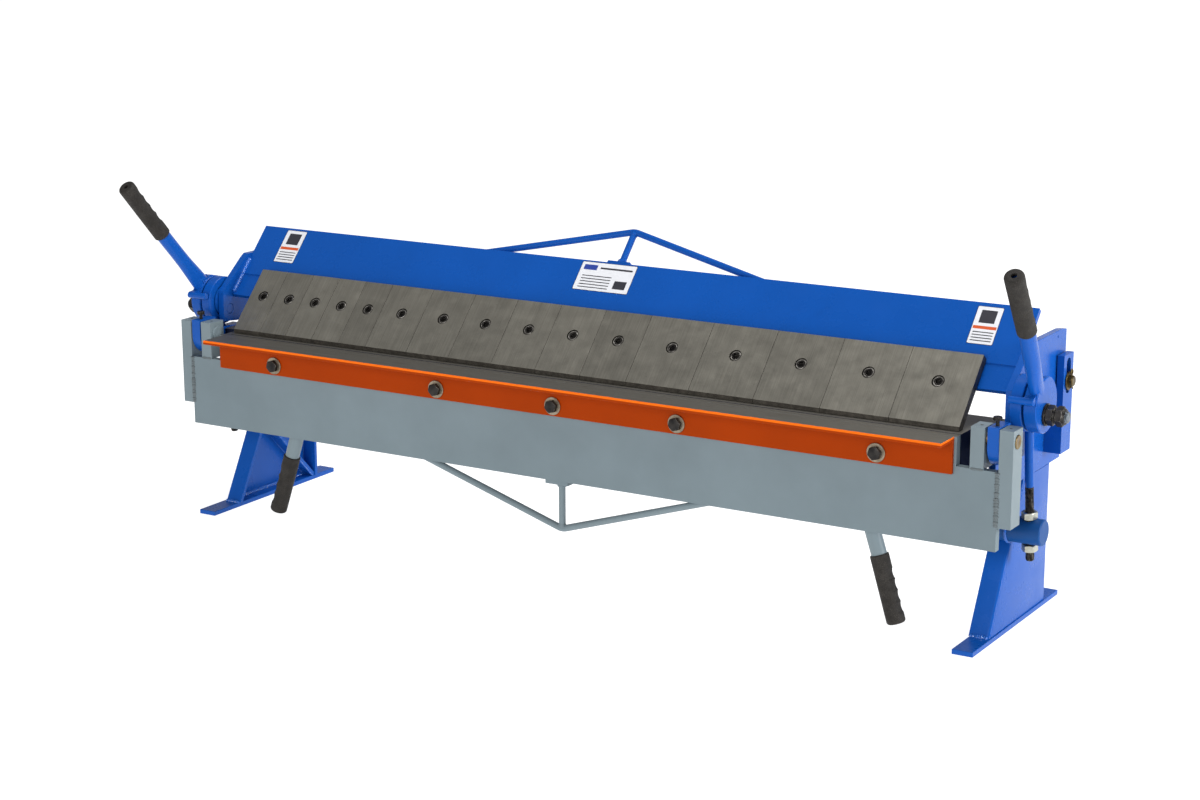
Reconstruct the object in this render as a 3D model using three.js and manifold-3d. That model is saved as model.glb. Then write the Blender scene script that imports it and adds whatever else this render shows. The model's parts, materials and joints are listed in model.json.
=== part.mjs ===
// Bench-top box-and-pan sheet metal brake with a 1220 mm (48 in) row of fingers.
// Millimetres. +X runs along the bend line, +Y to the back, +Z up.
// While the pieces are drawn, Y = 0 is the front face of the bending leaf and Z = 0 the bench top.
// At the end everything moves forward by ORIGIN_Y, to put the origin under the middle of the brake.

import * as THREE from 'three';
import { mergeVertices } from 'three/addons/utils/BufferGeometryUtils.js';
import Module from 'manifold-3d';

const wasm = await Module();
wasm.setup();

// ---- driving dimensions ----

const ORIGIN_Y = 100;
const GAP = 0.3; // between pieces that touch
const BED_Z = 290; // working height of the bed
const HINGE_Y = 14.5; // bend line: the bed's front edge and the leaf's pivot axis

const NARROW = 50.8;
const MEDIUM = 76.2;
const WIDE = 101.6;
const FINGER_WIDTHS = [
  ...Array(5).fill(NARROW),
  ...Array(6).fill(MEDIUM),
  ...Array(5).fill(WIDE),
];
const FINGER_ROW = FINGER_WIDTHS.reduce((sum, width) => sum + width, 0);
const FINGER_THICK = 12.7;

// The clamping beam leans back. Its pieces are placed by s, measured up the slope,
// and n, measured square to the slope towards the front.
const SLOPE = THREE.MathUtils.degToRad(47);
const FACE_N = 184; // front face of the fingers
const BEAM_N = 170.7; // front face of the beam plate
const BEAM_TOP_S = 434.5;
const BEAM_STEP_S = 343.3;
const BEAM_LOW_S = 303;
const BEAM_HALF = 657.7;
const BEAM_PLATE = 8;
const FINGER_TOP_S = 346;
const NOSE_Y = 25; // fingers' nose, set back from the bend line
const SCREW_S = 298;
const SCREW_R = 5;
const SCREW_HEAD_R = 9.1; // counterbore for a finger screw's head

const LEG_WEB = { x0: 649, x1: 655 };
const LEG_TOP_Z = 204;
const FOOT = { x0: 627, x1: 657, y0: -18.7, y1: 289.7, thick: 7 };
const PLATE = 6;

const CHEEK = { x0: 645, x1: 655, y0: 42, y1: 277 };
const END_PLATE = { x0: 658, x1: 668 };

// Clamp linkage, as [y, z]: the bolt in the end plate, the eccentric's centre when clamped,
// the fixed round bar that the link pulls on, and the beam's rear pivot.
const BOLT = [75.5, 315];
const ECCENTRIC = [78, 327];
const TRUNNION = [100, 147];
const REAR_PIN = [231, 326];
const BOLT_R = 8;
const BOSS_R = 24;
const STRAP_BORE_R = 25.8; // wider than the boss by the slack that the opened linkage needs
const STRAP_R = 37.5;
const ROD_R = 6;
const ROD_X = 683.5;
const TRUNNION_R = 18;
const REAR_PIN_R = 7.5;
const TOP_HOLE = [218, 388]; // small hole near the end plate's top

const LEAF = { half: 675.3, z0: 142.5, shoulder: 250, neck: 617, thick: 12 };
const LEAF_PIN_R = 9.5;
const ANGLE_BOLT_X = [-506, -203, 0, 203, 506];
const ANGLE_BOLT_Z = 255.3;
const HANDLE_R = 11;
const GRIP_R = 13.2;
const GRIP_BORE_R = 11.3;
const VENT_R = 3.8;
const TRUSS_R = 5;
const TRUSS_Y = 17.4; // leaf truss centreline, just behind the leaf plate
const TRUSS_N = 157.3; // beam truss centreline, just behind the beam plate

// ---- materials ----

function paint(color, roughness) {
  return new THREE.MeshStandardMaterial({ color, roughness, metalness: 0.1 });
}

function metal(color, roughness) {
  return new THREE.MeshStandardMaterial({ color, roughness, metalness: 0.9 });
}

const BLUE = () => paint('#1a58b0', 0.35);
const GREY = () => paint('#84929a', 0.45);
const ORANGE = () => paint('#d0541a', 0.4);
const STEEL = () => metal('#80807a', 0.45);
const BLACK = () => metal('#1b1b1c', 0.5);
const ZINC = () => metal('#c8ccc0', 0.35);
const BRASS = () => metal('#8c7a30', 0.4);
const RUBBER = () => paint('#3a3632', 0.85);

// ---- solids ----

function solid(geometry) {
  const bare = geometry.clone();
  bare.deleteAttribute('normal');
  bare.deleteAttribute('uv');
  const merged = mergeVertices(bare, 1e-4);
  return new wasm.Manifold(new wasm.Mesh({
    numProp: 3,
    vertProperties: merged.attributes.position.array,
    triVerts: merged.index.array,
  }));
}

function geometryOf(body) {
  const mesh = body.getMesh();
  const geometry = new THREE.BufferGeometry();
  geometry.setAttribute('position', new THREE.BufferAttribute(new Float32Array(mesh.vertProperties), 3));
  geometry.setIndex(new THREE.BufferAttribute(new Uint32Array(mesh.triVerts), 1));
  return geometry;
}

function join(...geometries) {
  return geometryOf(geometries.map(solid).reduce((whole, part) => whole.add(part)));
}

function cut(geometry, ...tools) {
  return geometryOf(tools.map(solid).reduce((whole, tool) => whole.subtract(tool), solid(geometry)));
}

function mirrored(geometry) {
  const copy = mergeVertices(geometry.clone()).scale(-1, 1, 1);
  const index = copy.index.array;
  for (let i = 0; i < index.length; i += 3) {
    [index[i], index[i + 1]] = [index[i + 1], index[i]];
  }
  return copy;
}

// ---- simple shapes ----

function box(x0, x1, y0, y1, z0, z1) {
  const geometry = new THREE.BoxGeometry(x1 - x0, y1 - y0, z1 - z0);
  return geometry.translate((x0 + x1) / 2, (y0 + y1) / 2, (z0 + z1) / 2);
}

function outline(points) {
  return new THREE.Shape(points.map(([u, v]) => new THREE.Vector2(u, v)));
}

function disc(centre, radius) {
  return new THREE.Shape().absarc(centre[0], centre[1], radius, 0, 2 * Math.PI, false);
}

// A section drawn in (y, z), extruded along X from x0 to x1.
function alongX(shape, x0, x1, curveSegments = 16) {
  const geometry = new THREE.ExtrudeGeometry(shape, { depth: x1 - x0, bevelEnabled: false, curveSegments });
  const turn = new THREE.Matrix4().makeBasis(
    new THREE.Vector3(0, 1, 0),
    new THREE.Vector3(0, 0, 1),
    new THREE.Vector3(1, 0, 0),
  );
  return geometry.applyMatrix4(turn).translate(x0, 0, 0);
}

function barX([y, z], radius, x0, x1, segments = 24) {
  return rod(new THREE.Vector3(x0, y, z), new THREE.Vector3(x1, y, z), radius, segments);
}

// A round bar, or with 6 segments a hexagon, from one point to another.
function rod(from, to, radius, segments = 12) {
  const span = new THREE.Vector3().subVectors(to, from);
  const geometry = new THREE.CylinderGeometry(radius, radius, span.length(), segments);
  const turn = new THREE.Quaternion().setFromUnitVectors(new THREE.Vector3(0, 1, 0), span.normalize());
  return geometry.applyQuaternion(turn).translate(...from.clone().add(to).multiplyScalar(0.5).toArray());
}

function ball(centre, radius) {
  return new THREE.SphereGeometry(radius, 16, 8).translate(...centre.toArray());
}

function hexRadius(acrossFlats) {
  return acrossFlats / Math.sqrt(3);
}

// From slope coordinates to [y, z].
function slope(s, n) {
  return [
    s * Math.cos(SLOPE) - n * Math.sin(SLOPE),
    s * Math.sin(SLOPE) + n * Math.cos(SLOPE),
  ];
}

function slopePoint(x, s, n) {
  return new THREE.Vector3(x, ...slope(s, n));
}

function slopeBox(x0, x1, s0, s1, n0, n1) {
  return box(x0, x1, s0, s1, n0, n1).rotateX(SLOPE);
}

// ---- stands ----

const LEG_FRONT = { y0: 42, y1: 148 }; // the leaning front edge, at the foot and at the top

function stand() {
  const low = FOOT.thick - 0.5;
  const across = PLATE * 1.14; // level thickness of the leaning flange
  const foot = box(FOOT.x0, FOOT.x1, FOOT.y0, FOOT.y1, 0, FOOT.thick);
  const web = alongX(outline([
    [LEG_FRONT.y0, low],
    [243, low],
    [243, LEG_TOP_Z],
    [LEG_FRONT.y1, LEG_TOP_Z],
  ]), LEG_WEB.x0, LEG_WEB.x1);
  const frontFlange = alongX(outline([
    [LEG_FRONT.y0, low],
    [LEG_FRONT.y0 + across, low],
    [LEG_FRONT.y1 + across, LEG_TOP_Z],
    [LEG_FRONT.y1, LEG_TOP_Z],
  ]), 625, 650);
  const rearFlange = box(625, 650, 243 - PLATE, 243, low, LEG_TOP_Z);
  const brace = alongX(outline([[110, 131], [234, low], [240, low + 2], [114, 136]]), 627, 650);
  const trunnion = barX(TRUNNION, TRUNNION_R, 628, 704);
  const hole = rod(linkPoint(-50), linkPoint(50), ROD_R + 2);
  return cut(join(foot, web, frontFlange, rearFlange, brace, trunnion), hole);
}

// Flat plate bolted on top of the leg, with the slotted guide for the beam's rear pin.
function cheekPlate() {
  const plate = alongX(outline([
    [CHEEK.y0, LEG_TOP_Z + GAP],
    [CHEEK.y1, LEG_TOP_Z + GAP],
    [CHEEK.y1, 262],
    [CHEEK.y1 - 26, BED_Z],
    [CHEEK.y0, BED_Z],
  ]), CHEEK.x0, CHEEK.x1);
  const guideFront = REAR_PIN[0] - 17.5;
  const guideBack = REAR_PIN[0] + 17.5;
  const spacer = box(CHEEK.x1 - 1, 671, guideFront, guideBack, 226, BED_Z);
  const guide = box(670, 680, guideFront, guideBack, 226, 363);
  const half = REAR_PIN_R + GAP;
  const slot = new THREE.Shape()
    .absarc(REAR_PIN[0], 350, half, 0, Math.PI, false)
    .absarc(REAR_PIN[0], REAR_PIN[1] - 10, half, Math.PI, 2 * Math.PI, false);
  return cut(join(plate, spacer, guide), alongX(slot, 665, 685, 10));
}

// Ear that carries one end of the leaf on its pivot pin.
function pivotLug() {
  const front = 1.5;
  const round = 30;
  const shape = new THREE.Shape();
  shape.moveTo(front, 308);
  shape.lineTo(front, 252 + round);
  shape.absarc(front + round, 252 + round, round, Math.PI, 1.5 * Math.PI, false);
  shape.lineTo(100, 252);
  shape.lineTo(100, 288);
  shape.lineTo(40, 288);
  shape.lineTo(40, 308);
  const ear = alongX(shape, 658.5, 674.5, 8);
  const pad = box(CHEEK.x1 + GAP, 659, 46, 98, 254, 286);
  return cut(join(ear, pad), barX([HINGE_Y, BED_Z], LEAF_PIN_R + GAP, 650, 680));
}

function bed() {
  const narrow = LEAF.neck;
  const wide = CHEEK.x0 - GAP;
  return join(
    box(-narrow, narrow, HINGE_Y, 121, BED_Z - 12, BED_Z),
    box(-wide, wide, 46, 121, BED_Z - 12, BED_Z),
    box(-narrow, narrow, HINGE_Y, 50.5, 238, BED_Z - 11),
    box(-wide, wide, 111, 121, 244, BED_Z - 11),
  );
}

// ---- bending leaf ----

function bendingLeaf() {
  const { half, z0, shoulder, neck, thick } = LEAF;
  const plate = alongX(outline([[0, z0], [thick, z0], [thick, BED_Z], [0, BED_Z]]), -half, half);
  const corner = box(neck, half + 1, -1, thick + 1, shoulder, BED_Z + 1);
  const holes = ANGLE_BOLT_X.map((x) => rod(
    new THREE.Vector3(x, -1, ANGLE_BOLT_Z),
    new THREE.Vector3(x, thick + 1, ANGLE_BOLT_Z),
    5.3,
  ));
  const seat = box(-19, 19, 2, 28, z0 - 6, z0 + 0.5);
  const postHole = rod(new THREE.Vector3(0, TRUSS_Y, 130), new THREE.Vector3(0, TRUSS_Y, 150), TRUSS_R + 0.4);
  const solidSeat = cut(seat, postHole);
  return join(cut(plate, corner, mirrored(corner), ...holes), solidSeat);
}

function hingeBar(x0, x1, z0) {
  const bar = box(x0, x1, 0, 31, z0, 306.6);
  return cut(bar, barX([HINGE_Y, BED_Z], LEAF_PIN_R + GAP, x0 - 1, x1 + 1));
}

function leafPivotPin() {
  return barX([HINGE_Y, BED_Z], LEAF_PIN_R, 633.5, 696.5);
}

// Removable angle along the leaf's top edge, level with the bed.
function angleBar() {
  const front = -44.9;
  const low = 240;
  const section = outline([
    [-GAP, BED_Z],
    [front, BED_Z],
    [front, BED_Z - PLATE],
    [-GAP - PLATE, BED_Z - PLATE],
    [-GAP - PLATE, low],
    [-GAP, low],
  ]);
  const holes = ANGLE_BOLT_X.map((x) => rod(
    new THREE.Vector3(x, -10, ANGLE_BOLT_Z),
    new THREE.Vector3(x, 1, ANGLE_BOLT_Z),
    5.4,
  ));
  return cut(alongX(section, -613.5, 613.5), ...holes);
}

function angleBolt(x) {
  const at = (y) => new THREE.Vector3(x, y, ANGLE_BOLT_Z);
  const seat = -GAP - PLATE - GAP;
  return join(
    rod(at(seat), at(seat - 2), 13.3, 24),
    rod(at(seat - 1.9), at(seat - 8.4), hexRadius(17), 6),
    rod(at(seat - 1), at(LEAF.thick - 1), 5),
  );
}

// Rod bent to a shallow V that stiffens the leaf, with its adjusting post.
function leafTruss() {
  const apexZ = 66;
  const reach = 400;
  const endZ = apexZ + 0.3127 * reach;
  const apex = new THREE.Vector3(0, TRUSS_Y, apexZ);
  return join(
    rod(apex, new THREE.Vector3(reach, TRUSS_Y, endZ), TRUSS_R),
    rod(apex, new THREE.Vector3(-reach, TRUSS_Y, endZ), TRUSS_R),
    ball(apex, TRUSS_R),
    rod(apex, new THREE.Vector3(0, TRUSS_Y, 150), TRUSS_R - 1),
  );
}

const LEAF_HANDLE = {
  top: new THREE.Vector3(474.5, 23.6, 186),
  gripStart: new THREE.Vector3(500.4, 23.6, 106.6),
  gripEnd: new THREE.Vector3(530.4, 20.6, 13.4),
};

const CLAMP_HANDLE = {
  base: new THREE.Vector3(700, 62, 349),
  gripStart: new THREE.Vector3(712.5, -14.2, 441.8),
  gripEnd: new THREE.Vector3(719.6, -84.7, 526.4),
};

// Point on the centreline of a grip, a given length short of its outer end.
function inGrip({ gripStart, gripEnd }, short) {
  const whole = gripEnd.distanceTo(gripStart);
  return gripEnd.clone().lerp(gripStart, short / whole);
}

function leafHandle() {
  const { top, gripStart } = LEAF_HANDLE;
  return join(
    rod(top, gripStart, HANDLE_R, 16),
    ball(gripStart, HANDLE_R),
    rod(gripStart, inGrip(LEAF_HANDLE, 5), HANDLE_R, 16),
  );
}

// Rubber sleeve: a tube closed at its outer end but for a small vent hole.
function grip({ gripStart, gripEnd }) {
  const length = gripEnd.distanceTo(gripStart);
  const section = [
    [GRIP_BORE_R, 1],
    [GRIP_R, 1],
    [GRIP_R, length - 2],
    [GRIP_R - 2, length],
    [VENT_R, length],
    [VENT_R, length - 4],
    [GRIP_BORE_R, length - 4],
    [GRIP_BORE_R, 1],
  ].map(([r, h]) => new THREE.Vector2(r, h));
  const geometry = new THREE.LatheGeometry(section, 20);
  const along = new THREE.Vector3().subVectors(gripEnd, gripStart).normalize();
  const turn = new THREE.Quaternion().setFromUnitVectors(new THREE.Vector3(0, 1, 0), along);
  return geometryOf(solid(geometry.applyQuaternion(turn).translate(...gripStart.toArray())));
}

// ---- clamping beam ----

function beamFacePlate() {
  const low = BEAM_STEP_S - 1;
  const back = BEAM_N - BEAM_PLATE;
  const face = slopeBox(-BEAM_HALF, BEAM_HALF, low, BEAM_TOP_S, back, BEAM_N);
  const band = slopeBox(-BEAM_HALF, BEAM_HALF, BEAM_LOW_S, BEAM_STEP_S, back - 1.7, BEAM_N - 1.7);
  const rib = slopeBox(-BEAM_HALF, BEAM_HALF, 392, 400, back - 52, back + 1);
  const seat = slopeBox(-19, 19, BEAM_TOP_S - 0.5, BEAM_TOP_S + 6, TRUSS_N - 8, BEAM_N - 4);
  const postHole = rod(slopePoint(0, 425, TRUSS_N), slopePoint(0, 450, TRUSS_N), TRUSS_R + 0.1);
  return join(face, band, rib, cut(seat, postHole));
}

// Bar behind the beam's lower edge, which the finger screws pull up against it.
// It ends just past the outermost screws.
function clampBar() {
  const back = BEAM_N - BEAM_PLATE - 1.7 - GAP;
  const places = fingers();
  const past = 19;
  const bar = slopeBox(places[0].x - past, places.at(-1).x + past, 286, 328, back - 13, back);
  const holes = places.map(({ x }) => rod(
    slopePoint(x, SCREW_S, back - 15),
    slopePoint(x, SCREW_S, back + 2),
    SCREW_R + 0.2,
    8,
  ));
  return cut(bar, ...holes);
}

// Middle and width of each finger in the row, from left to right.
function fingers() {
  let left = -FINGER_ROW / 2;
  return FINGER_WIDTHS.map((width) => {
    const x = left + width / 2;
    left += width;
    return { x, width };
  });
}

function finger({ x, width }) {
  const back = FACE_N - FINGER_THICK;
  const low = BED_Z + GAP;
  const onSlope = (n, z) => (z * Math.cos(SLOPE) - n) / Math.sin(SLOPE);
  const noseTop = (FACE_N + NOSE_Y * Math.sin(SLOPE)) / Math.cos(SLOPE);
  const section = outline([
    [NOSE_Y, low],
    [NOSE_Y, noseTop],
    slope(FINGER_TOP_S, FACE_N),
    slope(FINGER_TOP_S, back),
    [onSlope(back, low), low],
  ]);
  const half = width / 2 - GAP / 2;
  const body = alongX(section, x - half, x + half);
  const bore = rod(slopePoint(x, SCREW_S, back - 5), slopePoint(x, SCREW_S, FACE_N + 5), SCREW_R + 0.5, 8);
  const counterbore = rod(slopePoint(x, SCREW_S, FACE_N - 7), slopePoint(x, SCREW_S, FACE_N + 5), SCREW_HEAD_R, 20);
  return cut(body, bore, counterbore);
}

function endPlate() {
  const plate = alongX(outline([
    [60, 297],
    [90, 293.5],
    [250, 293.5],
    [250, 393.5],
    [232, 396],
    [125, 396],
    [116, 390],
    [60, 345],
  ]), END_PLATE.x0, END_PLATE.x1);
  return cut(
    plate,
    barX(BOLT, BOLT_R + GAP, 650, 675),
    barX(REAR_PIN, REAR_PIN_R + GAP, 650, 675),
    barX(TOP_HOLE, 1.6, 650, 675, 8),
  );
}

function beamTruss() {
  const apexS = 499;
  const reach = 330;
  const endS = apexS - 0.262 * reach;
  const apex = slopePoint(0, apexS, TRUSS_N);
  return join(
    rod(apex, slopePoint(reach, endS, TRUSS_N), TRUSS_R),
    rod(apex, slopePoint(-reach, endS, TRUSS_N), TRUSS_R),
    ball(apex, TRUSS_R),
    rod(apex, slopePoint(0, 427, TRUSS_N), TRUSS_R - 1),
  );
}

function rearPin() {
  return join(
    barX(REAR_PIN, 11, 650, END_PLATE.x0 - GAP),
    barX(REAR_PIN, REAR_PIN_R, 653, 688.5),
  );
}

// Stud screwed into the end plate, with its washer and pair of lock nuts.
function eccentricBolt() {
  const seat = CLAMP_DISC.x1 + GAP;
  const nut = hexRadius(24);
  const hex = (x0, x1) => barX(BOLT, nut, x0, x1, 6);
  return join(
    barX(BOLT, BOLT_R, END_PLATE.x0, 741),
    barX(BOLT, 15, seat, seat + 3),
    hex(seat + 2.9, seat + 15),
    hex(seat + 15.6, seat + 28),
  );
}

// ---- clamp handle and link ----

const CLAMP_DISC = { x0: 690, x1: 708 };
const STOP_REACH = 44.2; // stop pin's distance from the eccentric's centre

function clampHandle() {
  const { base, gripStart } = CLAMP_HANDLE;
  const stop = [
    ECCENTRIC[0] - STOP_REACH * Math.cos(0.284),
    ECCENTRIC[1] + STOP_REACH * Math.sin(0.284),
  ];
  const ear = alongX(outline([
    [stop[0], stop[1] - 5],
    [ECCENTRIC[0], ECCENTRIC[1] - 8],
    [ECCENTRIC[0], ECCENTRIC[1] + 22],
    [stop[0], stop[1] + 5],
  ]), CLAMP_DISC.x0 + 2, CLAMP_DISC.x1 - 2);
  const body = join(
    barX(ECCENTRIC, STRAP_R, CLAMP_DISC.x0, CLAMP_DISC.x1, 40),
    barX(ECCENTRIC, BOSS_R, END_PLATE.x1 + 0.6, CLAMP_DISC.x0 + 1, 32),
    ear,
    barX(stop, 5, 672, CLAMP_DISC.x1 - 1, 16),
    rod(base, gripStart, HANDLE_R, 16),
    ball(gripStart, HANDLE_R),
    rod(gripStart, inGrip(CLAMP_HANDLE, 5), HANDLE_R, 16),
  );
  return cut(body, barX(BOLT, BOLT_R + GAP, 660, 720));
}

// Point on the link's centreline, a distance beyond the trunnion's axis.
function linkPoint(beyond) {
  const from = new THREE.Vector3(ROD_X, ...ECCENTRIC);
  const to = new THREE.Vector3(ROD_X, ...TRUNNION);
  return to.clone().add(to.clone().sub(from).normalize().multiplyScalar(beyond));
}

// Strap round the eccentric, with the rod that runs down through the trunnion.
function linkRod() {
  const length = Math.hypot(ECCENTRIC[0] - TRUNNION[0], ECCENTRIC[1] - TRUNNION[1]);
  const ring = disc(ECCENTRIC, STRAP_R);
  ring.holes.push(disc(ECCENTRIC, STRAP_BORE_R));
  return join(
    alongX(ring, 671, 687, 20),
    rod(linkPoint(32 - length), linkPoint(42), ROD_R),
  );
}

function linkNut(from, to) {
  return cut(
    rod(linkPoint(from), linkPoint(to), hexRadius(19), 6),
    rod(linkPoint(from - 1), linkPoint(to + 1), ROD_R + GAP),
  );
}

// ---- assembly ----

const brake = new THREE.Group();

function add(name, geometry, material) {
  const mesh = new THREE.Mesh(geometry, material);
  mesh.name = name;
  brake.add(mesh);
}

// The same piece at both ends: as drawn on the right, mirrored on the left.
function addPair(name, geometry, material) {
  add(`right_${name}`, geometry, material());
  add(`left_${name}`, mirrored(geometry), material());
}

addPair('stand', stand(), BLUE);
addPair('cheek_plate', cheekPlate(), BLUE);
addPair('pivot_lug', pivotLug(), BLUE);
add('bed', bed(), BLUE());

add('bending_leaf', bendingLeaf(), GREY());
addPair('inner_hinge_bar', hingeBar(635.7, 655, LEAF.shoulder + GAP), GREY);
addPair('outer_hinge_bar', hingeBar(LEAF.half + GAP, 695.1, 175.1), GREY);
addPair('leaf_pivot_pin', leafPivotPin(), BRASS);
add('angle_bar', angleBar(), ORANGE());
ANGLE_BOLT_X.forEach((x, i) => add(`angle_bolt_${i + 1}`, angleBolt(x), BLACK()));
add('leaf_truss_rod', leafTruss(), GREY());
addPair('leaf_handle', leafHandle(), GREY);
addPair('leaf_grip', grip(LEAF_HANDLE), RUBBER);

add('beam_face_plate', beamFacePlate(), BLUE());
add('clamp_bar', clampBar(), STEEL());
addPair('end_plate', endPlate(), BLUE);
add('beam_truss_rod', beamTruss(), BLUE());
addPair('rear_pin', rearPin(), BRASS);
addPair('eccentric_bolt', eccentricBolt(), BLACK);
fingers().forEach((place, i) => {
  add(`finger_${String(i + 1).padStart(2, '0')}`, finger(place), STEEL());
});

addPair('clamp_handle', clampHandle(), BLUE);
addPair('clamp_grip', grip(CLAMP_HANDLE), RUBBER);

addPair('link_rod', linkRod(), BLUE);
addPair('upper_nut', linkNut(-TRUNNION_R - 10.3, -TRUNNION_R - GAP), ZINC);
addPair('lower_nut', linkNut(TRUNNION_R + GAP, TRUNNION_R + 10.3), ZINC);

brake.position.y = -ORIGIN_Y;

export default brake;
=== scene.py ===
import json
import math
import random

import bmesh
import bpy
from mathutils import Matrix, Vector


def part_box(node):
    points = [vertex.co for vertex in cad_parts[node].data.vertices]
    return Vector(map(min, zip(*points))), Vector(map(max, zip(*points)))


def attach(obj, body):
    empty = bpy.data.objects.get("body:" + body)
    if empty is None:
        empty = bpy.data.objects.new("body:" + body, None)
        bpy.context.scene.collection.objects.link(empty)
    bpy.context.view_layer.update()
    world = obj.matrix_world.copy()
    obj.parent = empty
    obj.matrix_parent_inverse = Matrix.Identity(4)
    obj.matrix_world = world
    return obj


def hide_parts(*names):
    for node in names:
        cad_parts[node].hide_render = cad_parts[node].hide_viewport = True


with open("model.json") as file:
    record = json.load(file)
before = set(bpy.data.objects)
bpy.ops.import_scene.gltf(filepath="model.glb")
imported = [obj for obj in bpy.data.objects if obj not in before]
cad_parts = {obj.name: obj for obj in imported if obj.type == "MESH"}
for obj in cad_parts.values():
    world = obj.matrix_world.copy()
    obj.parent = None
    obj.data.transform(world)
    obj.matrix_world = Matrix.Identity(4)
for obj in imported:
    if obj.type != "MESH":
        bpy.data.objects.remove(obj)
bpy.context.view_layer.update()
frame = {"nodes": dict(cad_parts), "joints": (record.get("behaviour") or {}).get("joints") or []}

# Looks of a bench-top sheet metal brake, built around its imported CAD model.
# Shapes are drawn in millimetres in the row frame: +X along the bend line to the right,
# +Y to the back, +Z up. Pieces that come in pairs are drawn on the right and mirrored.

MM = 0.001


def corners(node):
    """Lowest and highest corner of a CAD node, in millimetres."""
    low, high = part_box(node)
    return low / MM, high / MM


def axis_of(joint_name):
    """A point on a joint's axis, in millimetres."""
    joint = next(j for j in frame["joints"] if j["name"] == joint_name)
    return Vector(joint["pos_m"]) / MM


# ---- places taken from the frame ----

HINGE = axis_of("leaf_swing")
BOLT = axis_of("right_handle_turn")
TRUNNION = axis_of("right_link_swing")
REAR_PIN = axis_of("beam_lift")
STRAP_R = 37.5  # of the link's strap, and of the handle's disc beside it
strap_high = corners("right_link_rod")[1]
ECCENTRIC = Vector((0, strap_high.y - STRAP_R, strap_high.z - STRAP_R))
leaf_low, leaf_high = corners("bending_leaf")
LUG_TOP = corners("right_pivot_lug")[1].z
X = Vector((1, 0, 0))
Y = Vector((0, 1, 0))
Z = Vector((0, 0, 1))

# The clamping beam leans back. s runs up its slope and n square to it, towards the front.
SLOPE = math.radians(47)
ORIGIN_Y = 100  # the slope's own origin lies this far in front of the row frame's
UP_SLOPE = Vector((0, math.cos(SLOPE), math.sin(SLOPE)))
OFF_SLOPE = Vector((0, -math.sin(SLOPE), math.cos(SLOPE)))
FACE_N = 184  # front of the fingers
BEAM_N = 170.7  # front of the beam's face plate
SCREW_S = 298  # row of the finger screws


def on_slope(x, s, n):
    return Vector((x, -ORIGIN_Y, 0)) + UP_SLOPE * s + OFF_SLOPE * n


def on_axis(x, centre):
    """The point at x on a line along X through centre."""
    return Vector((x, centre.y, centre.z))


def beside(centre, turn, reach):
    """A point off a line along X, in the direction of turn, counted from the back upwards."""
    return centre + Vector((0, math.cos(turn), math.sin(turn))) * reach


# ---- mesh building ----

TURN_DOWN = 0.577  # depth of the chamfer at a hexagon's corners, for each unit of radius


def hex_radius(across, turn):
    """Distance from a hexagon's middle to its side, in the direction of turn."""
    return across / 2 / math.cos((turn + math.pi / 6) % (math.pi / 3) - math.pi / 6)


def value_at(quantity, turn):
    return quantity(turn) if callable(quantity) else quantity


def round_bar(length, radius, edge=0):
    """Stations of a round bar, with both ends taken down by edge."""
    if not edge:
        return [(0, 0), (0, radius), (length, radius), (length, 0)]
    return [
        (0, 0), (0, radius - edge), (edge, radius),
        (length - edge, radius), (length, radius - edge), (length, 0),
    ]


def rounded(points, radius, steps=8):
    """A polyline with each inner corner replaced by an arc."""
    path = [points[0]]
    for before, corner, after in zip(points, points[1:], points[2:]):
        back = (before - corner).normalized()
        ahead = (after - corner).normalized()
        half = back.angle(ahead) / 2
        reach = radius / math.tan(half)
        middle = corner + (back + ahead).normalized() * (radius / math.sin(half))
        first = corner + back * reach - middle
        last = corner + ahead * reach - middle
        sweep = first.angle(last)
        for step in range(steps + 1):
            part = step / steps
            mixed = first * math.sin((1 - part) * sweep) + last * math.sin(part * sweep)
            path.append(middle + mixed / math.sin(sweep))
    path.append(points[-1])
    return path


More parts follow.
